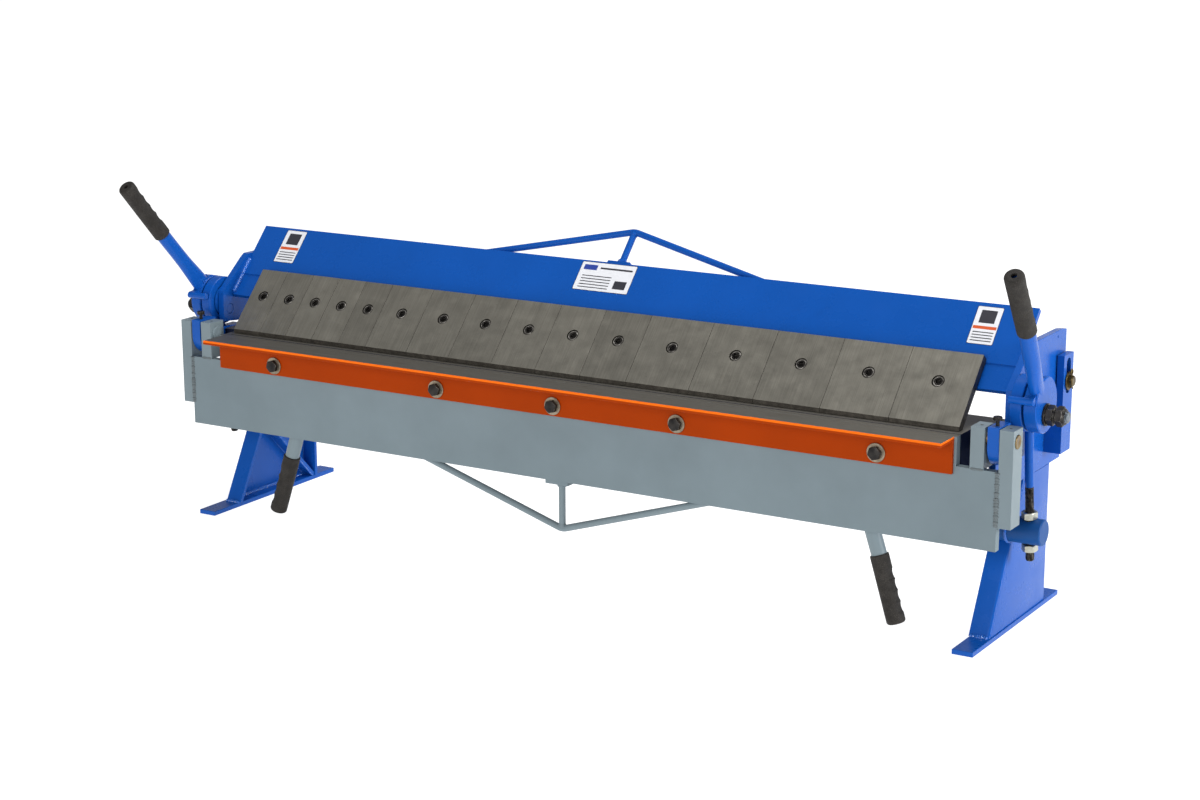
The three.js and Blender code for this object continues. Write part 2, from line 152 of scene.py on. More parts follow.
class Piece:
    """Closed shells gathered into one mesh."""

    def __init__(self):
        self.verts = []
        self.faces = []
        self.finishes = []

    def shell(self, verts, faces, finish):
        first = len(self.verts)
        self.verts += [Vector(v) for v in verts]
        self.faces += [[first + i for i in face] for face in faces]
        self.finishes += [finish] * len(faces)

    def skin(self, rings, finish=0, closed=False, caps=(True, True)):
        """Joins rings of points, one after the other, and closes the two ends."""
        count = len(rings[0])
        verts = [point for ring in rings for point in ring]
        faces = []
        turns = len(rings) if closed else len(rings) - 1
        for r in range(turns):
            here = r * count
            there = (r + 1) % len(rings) * count
            for i in range(count):
                j = (i + 1) % count
                faces.append([here + i, here + j, there + j, there + i])
        if not closed and caps[0]:
            faces.append(list(reversed(range(count))))
        if not closed and caps[1]:
            faces.append([(len(rings) - 1) * count + i for i in range(count)])
        self.shell(verts, faces, finish)

    def turned(self, origin, along, stations, finish=0, segments=48, closed=False, facing=None):
        """A surface round an axis. A station is a distance along it and a radius, and
        either can be a function of the angle, counted from the facing direction."""
        axis = along.normalized()
        side = facing if facing else axis.orthogonal()
        side = (side - axis * side.dot(axis)).normalized()
        other = axis.cross(side)
        rings = []
        for reach, radius in stations:
            ring = []
            for i in range(segments):
                turn = math.tau * i / segments
                out = side * math.cos(turn) + other * math.sin(turn)
                ring.append(origin + axis * value_at(reach, turn) + out * value_at(radius, turn))
            rings.append(ring)
        caps = [radius != 0 for reach, radius in (stations[0], stations[-1])]
        self.skin(rings, finish, closed, caps)

    def swept(self, path, radius, finish=0, segments=24, squash=None):
        """A round bar along a path. squash gives the stretch of its section at a point."""
        ahead = (path[1] - path[0]).normalized()
        side = ahead.orthogonal().normalized()
        rings = []
        for i, point in enumerate(path):
            here = (path[min(i + 1, len(path) - 1)] - path[max(i - 1, 0)]).normalized()
            side = (side - here * side.dot(here)).normalized()
            other = here.cross(side)
            stretch = squash(point) if squash else Vector((1, 1, 1))
            turns = [math.tau * k / segments for k in range(segments)]
            spokes = [(side * math.cos(t) + other * math.sin(t)) * radius for t in turns]
            rings.append([point + spoke * stretch for spoke in spokes])
        self.skin(rings, finish)

    def block(self, low, high):
        base = [(low.x, low.y), (high.x, low.y), (high.x, high.y), (low.x, high.y)]
        self.skin([[Vector((x, y, z)) for x, y in base] for z in (low.z, high.z)])

    def prism(self, outline, x0, x1):
        """An outline in (y, z), extruded along X."""
        self.skin([[Vector((x, y, z)) for y, z in outline] for x in (x0, x1)])

    def hexagon(self, origin, along, length, across, bore=0):
        """A nut, or a bolt's head where it has no bore, with turned-down corners."""
        flat = across * 0.475
        edge = 0.8

        def side(turn):
            return hex_radius(across, turn)

        def near(turn):
            return (hex_radius(across, turn) - flat) * TURN_DOWN

        def far(turn):
            return length - near(turn)

        stations = [(0, flat), (near, side), (far, side), (length, flat)]
        if bore:
            stations = [(edge, bore), (0, bore + edge)] + stations
            stations += [(length, bore + edge), (length - edge, bore)]
        self.turned(origin, along, stations, closed=bool(bore))

    def thread(self, origin, along, length, radius, pitch, finish=0, segments=24):
        """A bar with a helical thread."""
        depth = pitch * 0.54
        plain = 1  # left without a thread at each end

        def groove(reach):
            return lambda turn: radius - depth * abs(2 * ((reach / pitch - turn / math.tau) % 1) - 1)

        steps = int(length / pitch * 4)
        reaches = [plain + (length - 2 * plain) * i / steps for i in range(steps + 1)]
        stations = [(0, radius - depth)]
        stations += [(reach, groove(reach)) for reach in reaches]
        stations.append((length, radius - depth))
        self.turned(origin, along, stations, finish, segments)

    def weld(self, start, end, radius, seed):
        """A bead laid in a corner: ripples of slightly uneven width."""
        rng = random.Random(seed)
        length = (end - start).length
        steps = 4  # rings in one ripple
        uneven = 0.12
        stations = [(-radius * 0.5, 0)]
        step = radius * 0.9 / steps
        for i in range(int(length / step) + 1):
            if i % steps == 0:
                wobble = 1 + rng.uniform(-uneven, uneven)
            crest = abs(math.sin(math.pi * i / steps))
            stations.append((i * step, radius * wobble * (0.8 + 0.2 * crest)))
        stations.append((length + radius * 0.5, 0))
        self.turned(start, end - start, stations, segments=14)


def mesh_of(name, piece, mirror):
    """A piece's mesh in metres, with its normals outwards."""
    mesh = bpy.data.meshes.new(name)
    flip = Vector((-MM if mirror else MM, MM, MM))
    mesh.from_pydata([v * flip for v in piece.verts], [], piece.faces)
    mesh.polygons.foreach_set("material_index", piece.finishes)
    shape = bmesh.new()
    shape.from_mesh(mesh)
    bmesh.ops.remove_doubles(shape, verts=shape.verts, dist=1e-7)
    bmesh.ops.recalc_face_normals(shape, faces=shape.faces)
    for face in shape.faces:
        face.smooth = True
    shape.to_mesh(mesh)
    shape.free()
    return mesh


def drilled(mesh, tool):
    """The mesh with another cut out of it."""
    whole, cutter = (bpy.data.objects.new("drilling", m) for m in (mesh, tool))
    for obj in (whole, cutter):
        bpy.context.scene.collection.objects.link(obj)
    whole.modifiers.new("cut", "BOOLEAN").object = cutter
    graph = bpy.context.evaluated_depsgraph_get()
    result = bpy.data.meshes.new_from_object(whole.evaluated_get(graph))
    bpy.data.objects.remove(whole)
    bpy.data.objects.remove(cutter)
    return result


def build(name, piece, body, materials, slot, replaces=(), bevel=0, mirror=False, sharp=33, drill=None):
    """Puts a piece into the scene, on its body and in place of the CAD nodes it stands for."""
    mesh = mesh_of(name, piece, mirror)
    if drill:
        mesh = drilled(mesh, mesh_of(name + "_drill", drill, mirror))
        mesh.name = name
    mesh.set_sharp_from_angle(angle=math.radians(sharp))
    for material in materials:
        mesh.materials.append(material)
    obj = bpy.data.objects.new(name, mesh)
    bpy.context.scene.collection.objects.link(obj)
    if bevel:
        soften(obj, bevel)
    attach(obj, body)
    if replaces:
        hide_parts(*replaces)


def build_pair(name, piece, body, materials, slot, replaces="", **options):
    """The same piece at both ends. Names and bodies take the side in place of *."""
    for side in ("right", "left"):
        own_name, own_body, hidden = (text.replace("*", side) for text in (name, body, replaces))
        build(own_name, piece, own_body, materials, slot, [hidden] if hidden else [],
              mirror=side == "left", **options)


def soften(obj, width):
    """Rounds an object's sharp edges by a small radius."""
    modifier = obj.modifiers.new("soften", "BEVEL")
    modifier.width = width * MM
    modifier.segments = 2
    modifier.limit_method = "ANGLE"
    modifier.angle_limit = math.radians(38)
    modifier.harden_normals = True


# ---- materials ----

class Finish:
    """A procedural material under construction. Lengths in it are metres."""

    def __init__(self, name):
        self.material = bpy.data.materials.new(name)
        self.material.use_nodes = True
        self.nodes = self.material.node_tree.nodes
        self.shader = self.nodes["Principled BSDF"]
        self.coords = self.node("ShaderNodeTexCoord")
        self.place = self.coords.outputs["Object"]

    def node(self, kind, **settings):
        node = self.nodes.new(kind)
        for name, value in settings.items():
            setattr(node, name, value)
        return node

    def link(self, source, socket):
        if isinstance(source, bpy.types.NodeSocket):
            self.material.node_tree.links.new(source, socket)
        else:
            socket.default_value = source

    def stretched(self, scale, turn=0):
        """The place, turned about X and stretched."""
        turned = self.node("ShaderNodeMapping")
        turned.inputs["Rotation"].default_value = (turn, 0, 0)
        self.link(self.place, turned.inputs["Vector"])
        scaled = self.node("ShaderNodeMapping")
        scaled.inputs["Scale"].default_value = scale
        self.link(turned.outputs["Vector"], scaled.inputs["Vector"])
        return scaled.outputs["Vector"]

    def noise(self, scale, detail=3, roughness=0.5, place=None):
        node = self.node("ShaderNodeTexNoise")
        self.link(place or self.place, node.inputs["Vector"])
        node.inputs["Scale"].default_value = scale
        node.inputs["Detail"].default_value = detail
        node.inputs["Roughness"].default_value = roughness
        return node.outputs["Fac"]

    def spread(self, value, low, high, to_low=0, to_high=1):
        """Stretches the values between low and high over a new range, and clamps them."""
        node = self.node("ShaderNodeMapRange", clamp=True)
        self.link(value, node.inputs["Value"])
        node.inputs["From Min"].default_value = low
        node.inputs["From Max"].default_value = high
        node.inputs["To Min"].default_value = to_low
        node.inputs["To Max"].default_value = to_high
        return node.outputs["Result"]

    def combine(self, operation, a, b):
        node = self.node("ShaderNodeMath", operation=operation)
        self.link(a, node.inputs[0])
        self.link(b, node.inputs[1])
        return node.outputs["Value"]

    def mix(self, share, a, b):
        node = self.node("ShaderNodeMix", data_type="RGBA")
        self.link(share, node.inputs["Factor"])
        self.link((*a, 1) if isinstance(a, tuple) else a, node.inputs["A"])
        self.link((*b, 1) if isinstance(b, tuple) else b, node.inputs["B"])
        return node.outputs["Result"]

    def edges(self, radius):
        """How near the surface is to a sharp edge, from 0 to 1."""
        bevel = self.node("ShaderNodeBevel", samples=4)
        bevel.inputs["Radius"].default_value = radius
        geometry = self.node("ShaderNodeNewGeometry")
        dot = self.node("ShaderNodeVectorMath", operation="DOT_PRODUCT")
        self.link(bevel.outputs["Normal"], dot.inputs[0])
        self.link(geometry.outputs["Normal"], dot.inputs[1])
        return self.spread(dot.outputs["Value"], 0.99, 0.86)

    def facing(self, direction, least):
        """1 where the surface faces a direction of the piece itself, 0 elsewhere."""
        dot = self.node("ShaderNodeVectorMath", operation="DOT_PRODUCT")
        self.link(self.coords.outputs["Normal"], dot.inputs[0])
        dot.inputs[1].default_value = direction
        return self.spread(dot.outputs["Value"], least, least + 0.05)

    def bump(self, height, depth, strength=1.0, under=None):
        node = self.node("ShaderNodeBump")
        node.inputs["Distance"].default_value = depth
        node.inputs["Strength"].default_value = strength
        self.link(height, node.inputs["Height"])
        if under:
            self.link(under, node.inputs["Normal"])
        self.link(node.outputs["Normal"], self.shader.inputs["Normal"])
        return node.outputs["Normal"]

    def color(self, source):
        self.link(source, self.shader.inputs["Base Color"])

    def roughness(self, source):
        self.link(source, self.shader.inputs["Roughness"])

    def metallic(self, source):
        self.link(source, self.shader.inputs["Metallic"])


def shade(color, factor):
    return tuple(channel * factor for channel in color)


PRIMER = (0.16, 0.15, 0.14)
GREY_TONE = (0.175, 0.222, 0.245)
STEEL_TONE = (0.275, 0.262, 0.225)
SAWN_TONES = ((0.05, 0.045, 0.038), (0.1, 0.09, 0.075))
BRIGHT_TONES = ((0.12, 0.114, 0.1), (0.2, 0.19, 0.17))
RUST_TONE = (0.12, 0.085, 0.06)
OXIDE_TONES = ((0.012, 0.011, 0.011), (0.032, 0.029, 0.026))
RUBBER_TONES = ((0.02, 0.018, 0.016), (0.046, 0.041, 0.036))
HIGHLIGHT_BAND = 3.2  # height of the painted highlight band along a plate's upper edge


def paint(name, color, gloss, chips=0.62, shine=0.16):
    """Brushed-on workshop enamel: orange peel, faint patches, and chips along the edges."""
    finish = Finish(name)
    finish.shader.inputs["Specular IOR Level"].default_value = shine
    patches = finish.spread(finish.noise(5, 4, 0.6), 0.3, 0.7)
    base = finish.mix(patches, shade(color, 0.92), shade(color, 1.06))
    grime = finish.spread(finish.noise(38, 6, 0.7), 0.6, 0.8, 0, 0.35)
    base = finish.mix(grime, base, shade(color, 0.72))
    flakes = finish.spread(finish.noise(210, 4, 0.7), chips, chips + 0.04)
    worn = finish.combine("MULTIPLY", finish.edges(0.0009), flakes)
    finish.color(finish.mix(worn, base, PRIMER))
    dull = finish.spread(finish.noise(22, 5, 0.6), 0.35, 0.7, gloss - 0.05, gloss + 0.1)
    finish.roughness(finish.combine("ADD", dull, finish.combine("MULTIPLY", worn, 0.3)))
    peel = finish.bump(finish.noise(420, 2, 0.4), 0.00012, 0.35)
    finish.bump(finish.noise(60, 3, 0.5), 0.0004, 0.12, peel)
    return finish.material


def ground_steel(name, tone, seed):
    """Ground plate under a film of oil, with grinding lines up the slope and faint stains."""
    finish = Finish(name)
    base = shade(STEEL_TONE, tone)
    lines = finish.noise(1, 5, 0.65, finish.stretched((900 + seed, 9, 400), -SLOPE))
    stains = finish.spread(finish.noise(26 + seed, 6, 0.65), 0.42, 0.72)
    streaked = finish.mix(finish.spread(lines, 0.3, 0.7), shade(base, 0.82), shade(base, 1.2))
    stained = finish.mix(finish.combine("MULTIPLY", stains, 0.4), streaked, shade(base, 0.66))
    specks = finish.spread(finish.noise(310, 3, 0.6), 0.68, 0.74, 0, 0.5)
    speckled = finish.mix(specks, stained, shade(base, 0.45))
    bright = finish.combine("MULTIPLY", finish.edges(0.0006), finish.spread(finish.noise(90), 0.45, 0.65))
    ground = finish.mix(bright, speckled, shade(base, 1.5))
    sawn = finish.mix(finish.spread(finish.noise(120, 5), 0.3, 0.7), *SAWN_TONES)
    finish.color(finish.mix(finish.facing(OFF_SLOPE, 0.9), sawn, ground))
    finish.metallic(0.82)
    finish.roughness(finish.spread(finish.noise(45, 5, 0.6), 0.3, 0.75, 0.36, 0.56))
    finish.bump(lines, 0.00006, 0.5)
    return finish.material


def plated(name, light, dark, roughness):
    """Zinc plate, with the slow change of colour of its passivation."""
    finish = Finish(name)
    tint = finish.spread(finish.noise(85, 4, 0.6), 0.35, 0.68)
    base = finish.mix(tint, light, dark)
    stains = finish.spread(finish.noise(300, 4), 0.55, 0.75, 0, 0.5)
    finish.color(finish.mix(stains, base, shade(dark, 0.5)))
    finish.metallic(0.95)
    finish.roughness(finish.spread(finish.noise(160, 4), 0.3, 0.7, roughness - 0.06, roughness + 0.14))
    finish.bump(finish.noise(420, 3), 0.00005, 0.5)
    return finish.material


def black_oxide(name):
    """Blackened steel that rubs through to bright metal along its edges, made bright enough to be painted
    highlights on the edges as well.
    """
    finish = Finish(name)
    base = finish.mix(finish.spread(finish.noise(120, 5, 0.6), 0.35, 0.7), *OXIDE_TONES)
    # bright edges: rubbed-through wear, and painted highlights on rims and edges
    rub_and_highlight = finish.combine("MULTIPLY", finish.edges(0.0006), finish.spread(finish.noise(260), 0.4, 0.62))
    finish.color(finish.mix(rub_and_highlight, base, (0.3, 0.28, 0.25)))
    finish.metallic(0.75)
    finish.roughness(finish.spread(finish.noise(200, 4), 0.3, 0.7, 0.3, 0.5))
    finish.bump(finish.noise(500, 3), 0.00006, 0.5)
    return finish.material


def rubber(name):
    """Moulded rubber with a fine leather grain, and dust in it."""
    finish = Finish(name)
    finish.shader.inputs["Specular IOR Level"].default_value = 0.25
    dust = finish.spread(finish.noise(70, 6, 0.7), 0.4, 0.75)
    base = finish.mix(dust, *RUBBER_TONES)
    cells = finish.node("ShaderNodeTexVoronoi", feature="DISTANCE_TO_EDGE")
    cells.inputs["Scale"].default_value = 480
    finish.link(finish.place, cells.inputs["Vector"])
    grain = finish.spread(cells.outputs["Distance"], 0, 0.22)
    finish.color(finish.mix(grain, shade((0.026, 0.023, 0.02), 0.6), base))
    finish.roughness(finish.spread(finish.noise(90, 4), 0.3, 0.7, 0.6, 0.82))
    finish.bump(grain, 0.00018, 0.6)
    return finish.material


def printed(name, color):
    """Printed film: nearly even colour, faint scuffs."""
    finish = Finish(name)
    scuffs = finish.spread(finish.noise(140, 6, 0.7), 0.5, 0.8, 0, 0.5)
    finish.color(finish.mix(scuffs, color, shade(color, 0.8)))
    finish.roughness(finish.spread(finish.noise(60, 4), 0.3, 0.7, 0.3, 0.45))
    finish.bump(finish.noise(200, 3), 0.00004, 0.3)
    return finish.material


def ground_top(name, color, gloss, top, front, highlight_tone=None):
    """Enamel on a plate whose working face, up at top and behind front, is ground bare.
    The enamel's upper edge can have a lighter tone, a painted highlight where its rounded edge would catch
    the light."""
    finish = Finish(name)
    finish.shader.inputs["Specular IOR Level"].default_value = 0.04
    patches = finish.spread(finish.noise(6, 4, 0.6), 0.3, 0.7)
    enamel = finish.mix(patches, shade(color, 0.9), shade(color, 1.06))
    flakes = finish.spread(finish.noise(170, 4, 0.7), 0.6, 0.64)
    worn = finish.combine("MULTIPLY", finish.edges(0.001), flakes)
    enamel = finish.mix(worn, enamel, PRIMER)
    place = finish.node("ShaderNodeSeparateXYZ")
    finish.link(finish.place, place.inputs["Vector"])
    # painted highlight: a lighter band along the enamel's upper edge
    rub_and_highlight = finish.spread(place.outputs["Z"], top - HIGHLIGHT_BAND * MM, top - (HIGHLIGHT_BAND - 1) * MM)
    enamel = finish.mix(rub_and_highlight, enamel, highlight_tone or color)
    lines = finish.noise(1, 5, 0.65, finish.stretched((9, 900, 400)))
    steel = finish.mix(finish.spread(lines, 0.3, 0.7), *BRIGHT_TONES)
    stains = finish.spread(finish.noise(40, 6, 0.7), 0.55, 0.8, 0, 0.5)
    steel = finish.mix(stains, steel, RUST_TONE)
    high = finish.spread(place.outputs["Z"], top - 0.002, top - 0.001)
    ragged = finish.combine("MULTIPLY", finish.noise(90, 5), 0.004)
    edge = finish.combine("ADD", place.outputs["Y"], ragged)
    behind = finish.spread(edge, front, front + 0.001)
    bare = finish.combine("MULTIPLY", finish.combine("MULTIPLY", finish.facing(Z, 0.8), high), behind)
    finish.color(finish.mix(bare, enamel, steel))
    finish.metallic(finish.combine("MULTIPLY", bare, 0.85))
    finish.roughness(finish.spread(bare, 0, 1, gloss, 0.5))
    peel = finish.bump(finish.noise(420, 2, 0.4), 0.00012, 0.35)
    finish.bump(lines, 0.00004, 0.4, peel)
    return finish.material


BLUE = paint("blue_enamel", (0.004, 0.077, 0.37), 0.27)
# a lighter blue than the frame's enamel, so that the weld beads carry painted highlights
BEAD_BLUE_HIGHLIT = paint("bead_enamel_highlit", (0.02, 0.12, 0.48), 0.14, shine=0.6)
DEEP_BLUE = paint("anchor_bar_enamel", (0.006, 0.06, 0.22), 0.42)
GREY = paint("grey_enamel", GREY_TONE, 0.36)
GREY_WELD = paint("grey_weld_enamel", (0.12, 0.145, 0.155), 0.4, 0.5)
BED_TOP = corners("bed")[1].z * MM
BARE_FROM = corners("angle_bar")[0].y * MM + 0.004  # the angle bar's top is bare behind this
EVERYWHERE = -1  # in front of every piece, so that its whole top is bare
# the bright orange given last is a painted highlight along the angle bar's upper edge
ORANGE = ground_top("orange_enamel", (0.32, 0.037, 0.001), 0.34, BED_TOP, BARE_FROM, (0.85, 0.15, 0.008))
LEAF_GREY = ground_top("leaf_enamel", GREY_TONE, 0.36, BED_TOP, EVERYWHERE)
# dark navy enamel with painted shade: the bed's end and front faces are made this dark because they lie in
# shade
BED_DARK_SHADED = ground_top("bed_enamel_shaded", (0.011, 0.015, 0.036), 0.4, BED_TOP, EVERYWHERE)
STEELS = [ground_steel(f"finger_steel_{i}", tone, 7 * i) for i, tone in enumerate((1.04, 0.95, 1.1, 1.0))]
BLACK = black_oxide("black_oxide")
# bright plated tone for the finger screws' rim ring: a painted highlight
RIM_HIGHLIGHT = plated("rim_highlight", (0.3, 0.285, 0.26), (0.07, 0.065, 0.06), 0.36)
WASHER = plated("washer_zinc", (0.34, 0.29, 0.22), (0.2, 0.165, 0.12), 0.4)
ZINC = plated("bright_zinc", (0.5, 0.52, 0.47), (0.36, 0.36, 0.3), 0.34)
STUD = plated("stud_end", (0.2, 0.23, 0.26), (0.1, 0.11, 0.12), 0.3)
YELLOW = plated("yellow_zinc", (0.25, 0.185, 0.085), (0.15, 0.1, 0.05), 0.38)
BROWN = plated("oily_yellow_zinc", (0.13, 0.095, 0.035), (0.05, 0.032, 0.016), 0.36)
RUBBER = rubber("grip_rubber")
WHITE_FILM = printed("white_film", (0.75, 0.76, 0.8))
ORANGE_FILM = printed("orange_film", (0.6, 0.09, 0.02))
DARK_FILM = printed("dark_film", (0.03, 0.03, 0.04))
BLUE_FILM = printed("blue_film", (0.02, 0.05, 0.3))


# ---- CAD pieces that keep their shape ----

def smoothing():
    """Node group that joins a CAD mesh's triangles and smooths its round faces."""
    group = bpy.data.node_groups.new("smooth_cad", "GeometryNodeTree")
    for direction in ("INPUT", "OUTPUT"):
        group.interface.new_socket("Geometry", in_out=direction, socket_type="NodeSocketGeometry")
    chain = []
    for kind in ("NodeGroupInput", "GeometryNodeMergeByDistance", "GeometryNodeRemoveAttribute",
                 "GeometryNodeSetShadeSmooth", "GeometryNodeSetShadeSmooth", "NodeGroupOutput"):
        chain.append(group.nodes.new(kind))
    merge, bare, smooth, sharp = chain[1:5]
    merge.inputs["Distance"].default_value = 1e-5
    bare.inputs["Name"].default_value = "custom_normal"
    smooth.inputs["Shade Smooth"].default_value = True
    sharp.domain = "EDGE"
    sharp.inputs["Shade Smooth"].default_value = False
    angle = group.nodes.new("GeometryNodeInputMeshEdgeAngle")
    steep = group.nodes.new("FunctionNodeCompare")
    steep.inputs["B"].default_value = math.radians(32)
    group.links.new(angle.outputs["Unsigned Angle"], steep.inputs["A"])
    group.links.new(steep.outputs["Result"], sharp.inputs["Selection"])
    for before, after in zip(chain, chain[1:]):
        group.links.new(before.outputs[0], after.inputs["Geometry"])
    return group


SMOOTHING = smoothing()


def dress(node, material, edge=0.6):
    """Gives a CAD piece its finish and takes the knife edge off its corners."""
    obj = frame["nodes"][node]
    obj.material_slots[0].material = material
    obj.modifiers.new("smooth", "NODES").node_group = SMOOTHING
    planar = obj.modifiers.new("planar", "DECIMATE")
    planar.decimate_type = "DISSOLVE"
    planar.angle_limit = math.radians(0.5)
    soften(obj, edge)


def dress_cad():
    """Dresses the CAD pieces that are shown as they are, and lists the fingers."""
    for side in ("right", "left"):
        for name in ("cheek_plate", "pivot_lug", "end_plate"):
            dress(f"{side}_{name}", BLUE)
        for name in ("inner_hinge_bar", "outer_hinge_bar"):
            dress(f"{side}_{name}", GREY)
    dress("beam_face_plate", BLUE)
    dress("bed", BED_DARK_SHADED)
    dress("bending_leaf", LEAF_GREY)
    dress("angle_bar", ORANGE)
    dress("clamp_bar", STEELS[1])
    fingers = sorted(node for node in frame["nodes"] if node.startswith("finger_"))
    for i, node in enumerate(fingers):
        dress(node, STEELS[(i * 7 + i // 3) % len(STEELS)], edge=0.25)
    return fingers


# ---- clamp handles and links ----

DISC_X = (690, 708)  # inner and outer face of a clamp handle's disc
BOSS_X = 668.6  # inner end of its eccentric boss
BOSS_R = 24
STRAP_X = 671  # the link's strap lies round the boss, from here outwards
STRAP_WIDTH = 16
STRAP_BORE = 25.8
STOP_X = 672  # inner end of the stop pin, which stands in a lug of the disc
STOP_REACH = 44.2
STOP_ANGLE = 0.284  # from straight in front of the boss up to the stop pin, in radians
ROD_X = 683.5
ROD_R = 6
ANCHOR_R = 18
SHANK_FROM = 32  # a link rod starts this far below the strap's middle, inside the strap
THREAD_ABOVE = 64  # its thread starts this far above the anchor bar's axis
THREAD_BELOW = 42
NUT_HEIGHT = 10
BAR_R = 11
BAR_SHORT = 14  # a bar ends this far inside its grip's outer end
GRIP_R = 13.2
GROOVE = 2.1
VENT_R = 3.8
CLAMP_BASE = Vector((700, -38, 349))  # where the bar leaves the disc
# mouth and outer end of each grip
CLAMP_GRIP = (Vector((712.5, -114.2, 441.8)), Vector((719.6, -184.7, 526.4)))
LEAF_GRIP = (Vector((500.4, -76.4, 106.6)), Vector((530.4, -79.4, 13.4)))
LEAF_HANDLE_TOP = Vector((474.5, -76.4, 186))


def pressed(point):
    """The foot of a clamp bar is pressed flatter and wider where it meets the disc."""
    share = max(0, 1 - (point - CLAMP_BASE).length / 70)
    share = share * share * (3 - 2 * share)
    return Vector((1 - 0.2 * share, 1 + 0.4 * share, 1 + 0.4 * share))


def clamp_handles():
    """Disc with its eccentric boss, stop pin on a lug, and bent bar with its welds."""
    piece = Piece()
    disc = round_bar(DISC_X[1] - DISC_X[0], STRAP_R, 1.2)
    piece.turned(on_axis(DISC_X[0], ECCENTRIC), X, disc, segments=96)
    boss = DISC_X[0] + 1 - BOSS_X
    piece.turned(on_axis(BOSS_X, ECCENTRIC), X, [
        (0, 0), (0, BOSS_R - 0.7), (0.7, BOSS_R), (boss, BOSS_R), (boss, 0),
    ], segments=72)
    stop = beside(ECCENTRIC, math.pi - STOP_ANGLE, STOP_REACH)
    piece.prism([  # the lug that carries the stop pin
        (stop.y, stop.z - 5), (ECCENTRIC.y, ECCENTRIC.z - 8),
        (ECCENTRIC.y, ECCENTRIC.z + 22), (stop.y, stop.z + 5),
    ], DISC_X[0] + 2, DISC_X[1] - 2)
    piece.turned(on_axis(STOP_X, stop), X, round_bar(35, 5, 0.8), segments=32)
    start, end = CLAMP_GRIP
    inner = end + (start - end).normalized() * BAR_SHORT
    path = rounded([CLAMP_BASE, start, inner], radius=60)
    neck = [path[0].lerp(path[1], k / 10) for k in range(10)]
    piece.swept(neck + path[1:], BAR_R, segments=40, squash=pressed)
    bar = (start - CLAMP_BASE).normalized()
    across = bar.cross(X).normalized()
    for i in range(3):
        turn = math.radians(200 + 70 * i)
        foot = CLAMP_BASE + bar * 14 + across * math.cos(turn) * 10 + X * math.sin(turn) * 8
        piece.weld(foot - bar * 7, foot + bar * 3, 2.2, i)
    rim = [math.radians(a) for a in range(92, 132, 8)]
    for i, (a, b) in enumerate(zip(rim, rim[1:])):
        p, q = (beside(ECCENTRIC, turn, STRAP_R + 0.2) for turn in (a, b))
        for x in (DISC_X[0] + 3, DISC_X[1] - 3):
            piece.weld(on_axis(x, p), on_axis(x, q), 1.7, 10 + i)
    build_pair("*_clamp_handle_bar", piece, "*_handle", [BLUE], "blue_paint", "*_clamp_handle")


def grip_shell(start, end, facing):
    """Rubber sleeve with a rounded end, a vent hole, a mouth rim and finger grooves."""
    length = (end - start).length
    bore = BAR_R + 0.2
    grooves = 4
    first = 22  # the first groove starts this far from the mouth
    pitch = (length - 36) / grooves

    def outside(reach):
        def at(turn):
            share = (reach - first) / pitch
            inside = 0 < share < grooves
            scoop = math.sin(math.pi * (share % 1)) ** 0.7 if inside else 0
            around = max(0, math.cos(turn)) ** 1.5
            return GRIP_R - GROOVE * scoop * around
        return at

    stations = [(0.6, bore), (0.6, GRIP_R - 0.9), (1.6, GRIP_R)]
    steps = 64
    for i in range(1, steps):
        reach = 1.6 + (length - 6.2) * i / steps
        stations.append((reach, outside(reach)))
    for i in range(7):
        turn = math.pi / 2 * i / 6
        stations.append((length - 4.6 + 4.2 * math.sin(turn), GRIP_R - 4.4 * (1 - math.cos(turn))))
    stations += [(length - 0.4, VENT_R + 0.6), (length - 1, VENT_R)]
    stations += [(length - 4, VENT_R), (length - 4, bore)]
    piece = Piece()
    piece.turned(start, end - start, stations, segments=48, closed=True, facing=facing)
    return piece


def grips():
    """Rubber sleeves on the four handles."""
    clamp = grip_shell(*CLAMP_GRIP, Vector((0, 0.8, 0.6)))
    build_pair("*_clamp_grip_sleeve", clamp, "*_handle", [RUBBER], "rubber", "*_clamp_grip")
    leaf = grip_shell(*LEAF_GRIP, Vector((1, 0, 0.3)))
    build_pair("*_leaf_grip_sleeve", leaf, "leaf", [RUBBER], "rubber", "*_leaf_grip")


def rod_axis():
    """Where the right link rod meets the strap's middle and the anchor bar's axis, and its direction."""
    top = on_axis(ROD_X, ECCENTRIC)
    middle = on_axis(ROD_X, TRUNNION)
    return top, middle, (middle - top).normalized()


def links():
    """Strap round the eccentric, rod down through the anchor bar, and the rod's two nuts."""
    piece = Piece()
    edge = 1
    piece.turned(on_axis(STRAP_X, ECCENTRIC), X, [
        (edge, STRAP_R), (STRAP_WIDTH - edge, STRAP_R), (STRAP_WIDTH, STRAP_R - edge),
        (STRAP_WIDTH, STRAP_BORE), (0, STRAP_BORE), (0, STRAP_R - edge),
    ], segments=96, closed=True)
    top, middle, down = rod_axis()
    painted = (middle - top).length - THREAD_ABOVE
    shank = round_bar(painted - SHANK_FROM, ROD_R)
    piece.turned(top + down * SHANK_FROM, down, shank, segments=32)
    piece.thread(top + down * painted, down, THREAD_ABOVE + THREAD_BELOW, ROD_R, 1.75, 1)
    foot = top + down * STRAP_R
    piece.weld(foot - Y * 5.5, foot + Y * 5.5, 2.2, 4)
    build_pair("*_link_rod_threaded", piece, "*_link", [BLUE, BLACK], "blue_paint", "*_link_rod")
    clear = ANCHOR_R + 0.3
    for name, start in (("upper", -clear - NUT_HEIGHT), ("lower", clear)):
        nut = Piece()
        nut.hexagon(middle + down * start, down, NUT_HEIGHT, 19, ROD_R + 0.3)
        build_pair(f"*_{name}_hex_nut", nut, "*_link", [ZINC], "zinc", f"*_{name}_nut")


# ---- bolts, screws and pins ----

STUD_R = 8
LOCK_NUT = 9.6


